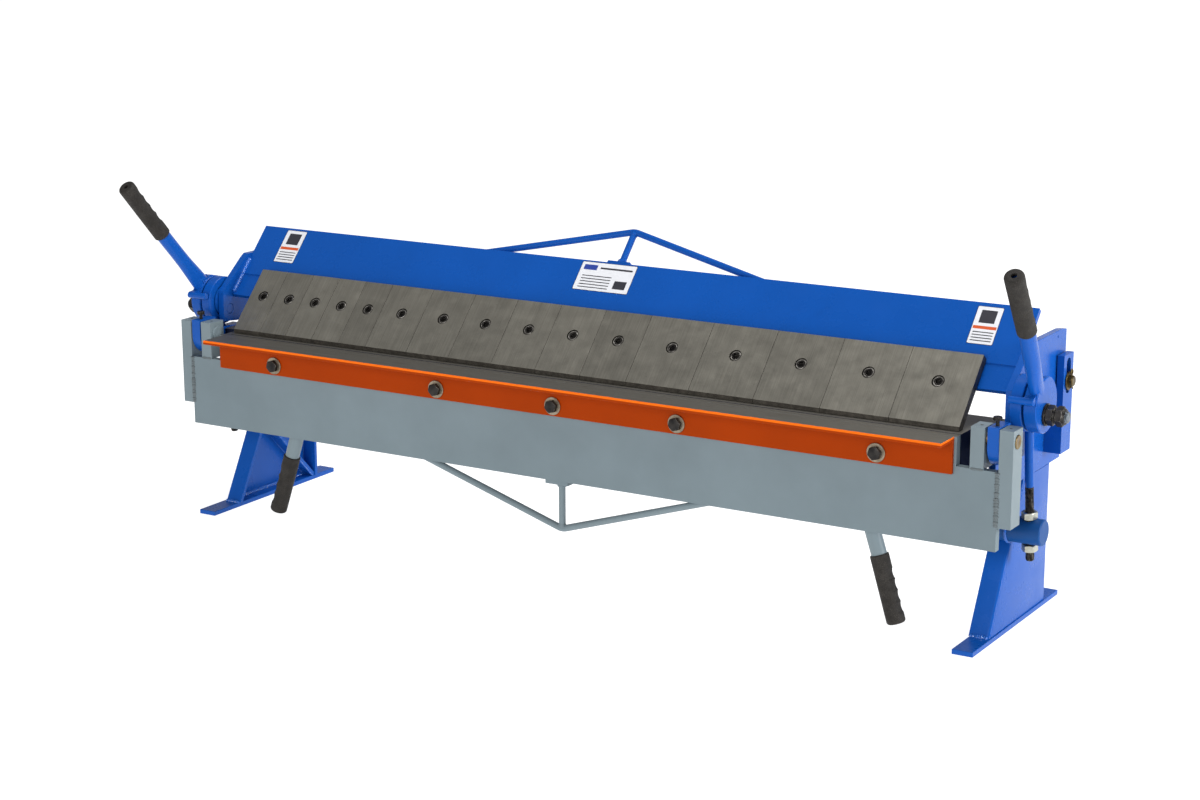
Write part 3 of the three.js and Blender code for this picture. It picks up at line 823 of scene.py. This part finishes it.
def eccentric_bolts():
    """Stud through the eccentric, painted at its inner end, with a washer and two lock nuts."""
    piece = Piece()
    bore = STUD_R + 0.1
    piece.turned(on_axis(658.2, BOLT), X, [
        (0, 0), (0, STUD_R - 0.6), (0.6, STUD_R), (9, STUD_R), (9, 0),
    ], 2, 40)
    piece.turned(on_axis(667, BOLT), X, round_bar(44, STUD_R), 0, 40)
    piece.thread(on_axis(711, BOLT), X, 29, STUD_R, 2, 1, 32)
    piece.turned(on_axis(739, BOLT), X, [(0, 0), (0, 7), (1, 6.6), (1.7, 5), (2, 2.5), (2, 0)], 1, 40)
    piece.turned(on_axis(DISC_X[1] + 0.3, BOLT), X, [
        (0, 8.3), (0, 14.6), (0.5, 15), (2.5, 15), (3, 14.6), (3, 8.3),
    ], 0, 48, True)
    for start in (711.4, 724.1):
        piece.hexagon(on_axis(start, BOLT), X, LOCK_NUT, 24, bore)
        piece.turned(on_axis(start + LOCK_NUT - 0.4, BOLT), X, [
            (0, bore), (0, 11), (2, 10.8), (2.7, 10.2), (2.7, 8.6), (2.2, bore),
        ], 0, 48, True)
    build_pair("*_eccentric_bolt_set", piece, "beam", [BLACK, STUD, BLUE], "black_steel",
               "*_eccentric_bolt", sharp=30)


LEAF_PIN_R = 9.5


def leaf_pins():
    """Pivot pins of the leaf, with centre-drilled ends, the inner one painted over."""
    low, high = corners("right_leaf_pivot_pin")
    piece = Piece()
    painted = 6
    edge = 0.8
    length = high.x - low.x - painted
    piece.turned(on_axis(low.x, HINGE), X, [
        (0.6, 0), (0, 1.2), (0, LEAF_PIN_R - edge), (edge, LEAF_PIN_R), (painted, LEAF_PIN_R), (painted, 0),
    ], 1)
    piece.turned(on_axis(low.x + painted, HINGE), X, [
        (0, 0), (0, LEAF_PIN_R), (length - edge, LEAF_PIN_R), (length, LEAF_PIN_R - edge),
        (length, 1.4), (length - 0.9, 0),
    ])
    build_pair("*_leaf_pin_turned", piece, "leaf", [YELLOW, GREY], "yellow_zinc", "*_leaf_pivot_pin")


def rear_pins():
    """Pins that the beam rocks on, with a head inside, and a washer and a split pin outside."""
    piece = Piece()
    piece.turned(on_axis(650, REAR_PIN), X, [(0, 0), (0, 10), (1, 11), (7, 11), (7.7, 10.4), (7.7, 0)])
    piece.turned(on_axis(653, REAR_PIN), X, [(0, 0), (0, 7.5), (34.3, 7.5), (35.5, 6.3), (35.5, 0)])
    piece.turned(on_axis(680.4, REAR_PIN), X, [
        (0, 7.7), (0, 12.8), (0.4, 13.2), (1.6, 13.2), (2, 12.8), (2, 7.7),
    ], 0, 40, True)
    build_pair("*_rear_pin_turned", piece, "beam", [BROWN], "yellow_zinc", "*_rear_pin")
    cotter = Piece()
    eye = on_axis(684.6, REAR_PIN) + Z * 12.4
    half = Y * 1.2  # the two legs lie this far from the split pin's middle
    turns = [math.tau * i / 20 for i in range(8, 33)]
    loop = [eye + Vector((0, math.sin(turn), math.cos(turn))) * 3.4 for turn in turns]
    cotter.swept([eye - Z * 22 - half, eye - Z * 4 - half] + loop, 1.2, 0, 12)
    cotter.swept([eye - Z * 4 + half, eye - Z * 20 + half, eye - Z * 24 + half * 5], 1.1, 0, 12)
    build_pair("*_cotter_pin", cotter, "beam", [BROWN], "yellow_zinc")


def angle_bolts():
    """Bolts with a washer that hold the angle bar."""
    head = 6.4
    for i in range(1, 6):
        low, high = corners(f"angle_bolt_{i}")
        centre = (low + high) / 2
        front = Vector((centre.x, low.y, centre.z))
        length = high.y - low.y
        piece = Piece()
        piece.hexagon(front, Y, head, 17)
        piece.turned(front, Y, [
            (head, 0), (head, 12.8), (6.9, 13.3), (7.9, 13.3), (8.4, 12.9), (8.4, 0),
        ], 1)
        piece.turned(front, Y, [(7, 0), (7, 5), (length, 5), (length, 0)], 0, 24)
        build(f"angle_bolt_{i}_hex", piece, "leaf", [BLACK, WASHER], "black_steel", [f"angle_bolt_{i}"])


def socket(across):
    """The wall of a hexagon socket."""
    return lambda turn: hex_radius(across, turn)


def finger_screws(fingers):
    """Socket head screws sunk in the fingers, with a bright ring on the head's rim that is a painted
    highlight.
    """
    for i, node in enumerate(fingers):
        low, high = corners(node)
        seat = on_slope((low.x + high.x) / 2, SCREW_S, FACE_N - 6.9)
        piece = Piece()
        piece.turned(seat, OFF_SLOPE, [
            (0, 0), (0, 8.7), (5.3, 8.7), (5.7, 8.3), (5.7, 6.4), (6, 6.2), (6, 5.3),
            (5.7, socket(8)), (2.2, socket(8)), (1.4, 0),
        ])
        # bright ring on the head's chamfer: painted highlight
        piece.turned(seat, OFF_SLOPE, [
            (5, 7.8), (5.9, 7.8), (6.5, 7.3), (6.6, 6.8), (6.2, 6.2), (5, 6.2),
        ], 1, 48, True)
        build(f"finger_screw_{i + 1:02d}", piece, "beam", [BLACK, RIM_HIGHLIGHT], "black_steel", sharp=50)


def small_screws():
    """Screws that stand up out of the lugs, and grub screws in the hinge bars' tops."""
    lug = Piece()
    seat = Vector((666.5, HINGE.y, LUG_TOP))
    lug.turned(seat - Z * 4, Z, round_bar(12, 2.6), segments=24)
    lug.turned(seat + Z * 7, Z, [
        (0, 0), (0, 4.6), (0.9, 6), (4.6, 6), (5.4, 5.4), (5.6, 4.4),
        (5.6, socket(5)), (3, socket(5)), (2.4, 0),
    ])
    build_pair("*_lug_screw", lug, "frame", [BLACK], "black_steel")
    grub = Piece()
    for node in ("right_inner_hinge_bar", "right_outer_hinge_bar"):
        low, high = corners(node)
        top = Vector(((low.x + high.x) / 2, HINGE.y, high.z))
        grub.turned(top - Z * 2, Z, [
            (0, 0), (0, 2.1), (2.1, 2.1), (2.2, 1.9), (2.2, socket(1.5)), (1.6, socket(1.5)), (1.6, 0),
        ], segments=24)
    build_pair("*_grub_screws", grub, "leaf", [BLACK], "black_steel")


# ---- leaf handles and truss rods ----

TRUSS_R = 5
POST_R = 5
TRUSS_NUT = 6
LEAF_TRUSS_HALF = 400  # half its length along X
LEAF_TRUSS_RISE = 0.3127 * LEAF_TRUSS_HALF
LEAF_POST_TOP = 150
BEAM_TRUSS_HALF = 330
BEAM_TRUSS_FALL = 0.262 * BEAM_TRUSS_HALF
BEAM_TRUSS_S = 499  # its apex
BEAM_TRUSS_N = 157.3
BEAM_POST_S = 427  # the post's end
BEAM_NUT_S = 447


def leaf_handles():
    """Bent bars welded behind the leaf, inside their grips."""
    start, end = LEAF_GRIP
    inner = end + (start - end).normalized() * BAR_SHORT
    piece = Piece()
    piece.swept(rounded([LEAF_HANDLE_TOP, start, inner], radius=80), BAR_R, segments=40)
    along = (LEAF_HANDLE_TOP - start).normalized()
    side = along.cross(Y).normalized()
    for i, sign in enumerate((-1, 1)):
        top = LEAF_HANDLE_TOP + side * sign * 9.5 - Y * 9.2
        piece.weld(top, top - along * 38, 2.4, 30 + i)
    build_pair("*_leaf_handle_bar", piece, "leaf", [GREY], "grey_paint", "*_leaf_handle")


def truss(apex, ends, post_end, nut_at):
    """A bent rod with its adjusting post, the weld round it, and its nut."""
    piece = Piece()
    piece.swept(rounded([ends[0], apex, ends[1]], radius=22), TRUSS_R, segments=28)
    post = (post_end - apex).normalized()
    piece.turned(apex, post, round_bar((post_end - apex).length, POST_R), segments=28)
    piece.turned(apex + post * 3, post, [
        (0, 0), (0, POST_R + 1.6), (2.5, POST_R + 1.2), (4.5, POST_R + 0.2), (4.5, 0),
    ], segments=28)
    piece.hexagon(nut_at, post, TRUSS_NUT, 13)
    return piece


def trusses():
    """The rod under the leaf, and the one above the beam."""
    low, high = corners("leaf_truss_rod")
    y = (low.y + high.y) / 2
    apex = Vector((0, y, low.z + TRUSS_R + 0.2))
    ends = [Vector((x, y, apex.z + LEAF_TRUSS_RISE)) for x in (-LEAF_TRUSS_HALF, LEAF_TRUSS_HALF)]
    nut_at = Vector((0, y, leaf_low.z - TRUSS_NUT - 0.2))
    leaf = truss(apex, ends, Vector((0, y, LEAF_POST_TOP)), nut_at)
    build("leaf_truss_bent", leaf, "leaf", [GREY], "grey_paint", ["leaf_truss_rod"])

    apex, post_end, nut_at = (on_slope(0, s, BEAM_TRUSS_N) for s in (BEAM_TRUSS_S, BEAM_POST_S, BEAM_NUT_S))
    end_s = BEAM_TRUSS_S - BEAM_TRUSS_FALL
    ends = [on_slope(x, end_s, BEAM_TRUSS_N) for x in (-BEAM_TRUSS_HALF, BEAM_TRUSS_HALF)]
    beam = truss(apex, ends, post_end, nut_at)
    build("beam_truss_bent", beam, "beam", [BLUE], "blue_paint", ["beam_truss_rod"])


# ---- stands ----

FOOT_X = (627, 657)
FOOT_TOP = 7
LEG_X = (625, 655)
LEG_BACK = 143
LEG_FRONT = (-58, 48)  # the leaning front edge, at the foot and at the top
LEG_Z = (6.5, 204)
PLATE = 6
ANCHOR_X = 628
ANCHOR_LENGTH = 76
ANCHOR_HOLE_R = 8


def arc(x, y, radius, start, steps=6):
    """A quarter circle, from the angle start, in degrees; a negative radius turns the other way."""
    turns = [math.radians(start + (90 if radius > 0 else -90) * i / steps) for i in range(steps + 1)]
    return [(x + abs(radius) * math.cos(t), y + abs(radius) * math.sin(t)) for t in turns]


def leg_section(front):
    """The folded leg cut level: a channel open towards the machine's middle."""
    x0, x1 = LEG_X
    inner_x = x1 - PLATE
    across = PLATE * 1.14
    bend = 4.5
    inside = 1.5
    return (
        [(x0, front)] + arc(x1 - bend, front + bend, bend, -90)
        + arc(x1 - bend, LEG_BACK - bend, bend, 0) + [(x0, LEG_BACK), (x0, LEG_BACK - PLATE)]
        + arc(inner_x - inside, LEG_BACK - PLATE - inside, -inside, 90)
        + arc(inner_x - inside, front + across + inside, -inside, 0) + [(x0, front + across)]
    )


def stands():
    """Foot bars, folded legs with a slanted brace, their welds, and the drilled anchor bars."""
    low, high = corners("right_stand")
    piece = Piece()
    piece.block(Vector((FOOT_X[0], low.y, 0)), Vector((FOOT_X[1], high.y, FOOT_TOP)))
    rings = [[Vector((x, y, z)) for x, y in leg_section(front)] for front, z in zip(LEG_FRONT, LEG_Z)]
    piece.skin(rings)
    piece.prism([(10, 131), (134, 6.5), (140, 8.5), (14, 136)], FOOT_X[0], 650)
    build_pair("*_stand_folded", piece, "frame", [BLUE], "blue_paint", "*_stand", bevel=0.7)

    beads = Piece()
    z = FOOT_TOP + 0.2
    back = LEG_BACK + 0.2
    beads.weld(Vector((648.6, -46, z)), Vector((648.6, 134, z)), 3.6, 70)
    beads.weld(Vector((628, -58.6, z)), Vector((652, -58.6, z)), 3.4, 71)
    beads.weld(Vector((629, back, z)), Vector((651, back, z)), 2.6, 72)
    for x in (628.4, 648.4):
        beads.weld(Vector((x, 132, 8)), Vector((x, 12, 132)), 1.6, 73)
    collar = [beside(TRUNNION, math.tau * i / 16, ANCHOR_R + 0.6) for i in range(17)]
    for i, (a, b) in enumerate(zip(collar, collar[1:])):
        beads.weld(on_axis(655.6, a), on_axis(655.6, b), 2.2, 80 + i)
    build_pair("*_stand_welds", beads, "frame", [BEAD_BLUE_HIGHLIT], "blue_paint")

    bar = Piece()
    bar.turned(on_axis(ANCHOR_X, TRUNNION), X, round_bar(ANCHOR_LENGTH, ANCHOR_R, 1.4), segments=72)
    drill = Piece()
    middle, down = rod_axis()[1:]
    drill.turned(middle - down * 30, down, round_bar(60, ANCHOR_HOLE_R), segments=40)
    build_pair("*_anchor_bar", bar, "frame", [DEEP_BLUE], "blue_paint", drill=drill, sharp=25)


# ---- welds and labels ----

def welds():
    """Beads that join the beam to its end plates and the leaf to its hinge bars."""
    beam = Piece()
    x = corners("beam_face_plate")[1].x - 1
    beam.weld(on_slope(x, 308, BEAM_N - 0.4), on_slope(x, 343, BEAM_N - 0.4), 4, 50)
    beam.weld(on_slope(x, 341, BEAM_N + 0.8), on_slope(x, 370, BEAM_N + 0.8), 4, 51)
    build_pair("*_beam_weld", beam, "beam", [BEAD_BLUE_HIGHLIT], "blue_paint")
    leaf = Piece()
    seam = Vector((leaf_high.x - 1, leaf_low.y + 2.4, 0))
    leaf.weld(seam + Z * 176, seam + Z * 214, 4.6, 60)
    leaf.weld(seam + Z * 212, seam + Z * 249, 4.3, 62)
    notch = Vector((0, leaf_low.y + 1.4, 250.2))
    leaf.weld(notch + X * 637, notch + X * 654, 2.4, 61)
    build_pair("*_leaf_welds", leaf, "leaf", [GREY_WELD], "grey_paint")


def label(name, x0, x1, s0, s1, bands):
    """A blank film label with a thin border and plain bands, which carry no words or signs."""
    piece = Piece()
    lift = BEAM_N + 0.25

    def patch(u0, u1, v0, v1, base, top, radius, finish):
        outline = []
        for cx, cy, start in ((u1, v1, 0), (u0, v1, 90), (u0, v0, 180), (u1, v0, 270)):
            for step in range(5):
                turn = math.radians(start + 90 * step / 4)
                inset_x = cx - radius if cx == u1 else cx + radius
                inset_y = cy - radius if cy == v1 else cy + radius
                outline.append((inset_x + radius * math.cos(turn), inset_y + radius * math.sin(turn)))
        piece.skin([[on_slope(x, s, n) for x, s in outline] for n in (base, top)], finish)

    patch(x0, x1, s0, s1, BEAM_N - 0.3, lift, 2, 2)
    patch(x0 + 0.7, x1 - 0.7, s0 + 0.7, s1 - 0.7, lift - 0.1, lift + 0.04, 1.6, 0)
    width, height = x1 - x0, s1 - s0
    for u0, u1, v0, v1, finish in bands:
        patch(x0 + u0 * width, x0 + u1 * width, s0 + v0 * height, s0 + v1 * height,
              lift - 0.1, lift + 0.1, 0.4, finish)
    build(name, piece, "beam", [WHITE_FILM, ORANGE_FILM, DARK_FILM, BLUE_FILM], "blue_paint")


def labels():
    """The three labels of the beam. A band is left, right, low and high shares, and a finish."""
    rules = [(0.1, 0.9, 0.08 + 0.075 * i, 0.105 + 0.075 * i, 2) for i in range(4)]
    end_bands = rules + [(0.05, 0.95, 0.4, 0.48, 1), (0.2, 0.8, 0.56, 0.9, 2)]
    label("left_label", -610, -571, 370, 430.7, end_bands)
    label("right_label", 572.5, 610, 368.5, 428.5, end_bands)
    rows = [(0.08, 0.62, 0.1 + 0.1 * i, 0.13 + 0.1 * i, 2) for i in range(5)]
    heading = [(0.06, 0.3, 0.72, 0.9, 3), (0.36, 0.94, 0.78, 0.84, 2)]
    centre_bands = rows + heading + [(0.7, 0.92, 0.14, 0.42, 2)]
    label("centre_label", -56, 38, 382.5, 432, centre_bands)


# ---- room, light and camera ----

def stage():
    """A pale floor that glows by itself, so that it stays nearly white under soft light."""
    room = bpy.data.meshes.new("floor")
    half = 60
    square = [(-half, -half, 0), (half, -half, 0), (half, half, 0), (-half, half, 0)]
    room.from_pydata(square, [], [[0, 1, 2, 3]])
    floor = bpy.data.objects.new("floor", room)
    bpy.context.scene.collection.objects.link(floor)
    finish = Finish("pale_floor")
    finish.color(finish.mix(finish.noise(3, 4), (0.4, 0.4, 0.4), (0.44, 0.44, 0.44)))
    finish.roughness(0.9)
    finish.shader.inputs["Emission Color"].default_value = (1, 1, 1, 1)
    finish.shader.inputs["Emission Strength"].default_value = 0.88
    room.materials.append(finish.material)


def area_light(name, place, target, size, power):
    data = bpy.data.lights.new(name, "AREA")
    data.shape = "DISK"
    data.size = size
    data.energy = power
    light = bpy.data.objects.new(name, data)
    light.location = place
    light.rotation_euler = (Vector(target) - Vector(place)).to_track_quat("-Z", "Y").to_euler()
    bpy.context.scene.collection.objects.link(light)


def studio():
    """White surroundings, dimmer above the horizon, and three softboxes."""
    scene = bpy.context.scene
    scene.view_settings.view_transform = "Standard"
    world = bpy.data.worlds.new("white_room")
    world.use_nodes = True
    tree = world.node_tree
    background = tree.nodes["Background"]
    background.inputs["Color"].default_value = (1, 1, 1, 1)
    place = tree.nodes.new("ShaderNodeTexCoord")
    height = tree.nodes.new("ShaderNodeSeparateXYZ")
    fade = tree.nodes.new("ShaderNodeMapRange")
    for name, value in (("From Min", 0.16), ("From Max", 0.24), ("To Min", 1.0), ("To Max", 0.28)):
        fade.inputs[name].default_value = value
    tree.links.new(place.outputs["Generated"], height.inputs["Vector"])
    tree.links.new(height.outputs["Z"], fade.inputs["Value"])
    tree.links.new(fade.outputs["Result"], background.inputs["Strength"])
    scene.world = world
    area_light("right_softbox", (4.2, 0.3, 1.1), (0.5, 0, 0.4), 1.5, 112)
    area_light("top_softbox", (0.8, 0.9, 3.6), (0, 0, 0.2), 2.4, 90)
    area_light("front_softbox", (0.6, -4.6, 1.7), (0, 0, 0.25), 2.4, 100)


CAMERA_PLACE = (1.789859, -2.916652, 1.073287)
CAMERA_LENS = 72.07
CAMERA_HEADING = 31.332  # degrees to the left of straight back
CAMERA_TILT = 13.66  # degrees below level
CAMERA_ROLL = -0.158


def camera():
    """Stands in front of the machine, to its right, and looks slightly down at it."""
    data = bpy.data.cameras.new("camera")
    data.lens = CAMERA_LENS
    data.sensor_width = 36
    view = bpy.data.objects.new("camera", data)
    aim = Matrix.Rotation(math.radians(CAMERA_HEADING), 4, "Z")
    aim = aim @ Matrix.Rotation(math.radians(90 - CAMERA_TILT), 4, "X")
    aim = aim @ Matrix.Rotation(math.radians(CAMERA_ROLL), 4, "Z")
    view.matrix_world = Matrix.Translation(CAMERA_PLACE) @ aim
    bpy.context.scene.collection.objects.link(view)
    bpy.context.scene.camera = view


camera()
studio()
stage()
finger_nodes = dress_cad()
clamp_handles()
grips()
links()
eccentric_bolts()
leaf_pins()
rear_pins()
angle_bolts()
finger_screws(finger_nodes)
small_screws()
leaf_handles()
trusses()
stands()
welds()
labels()
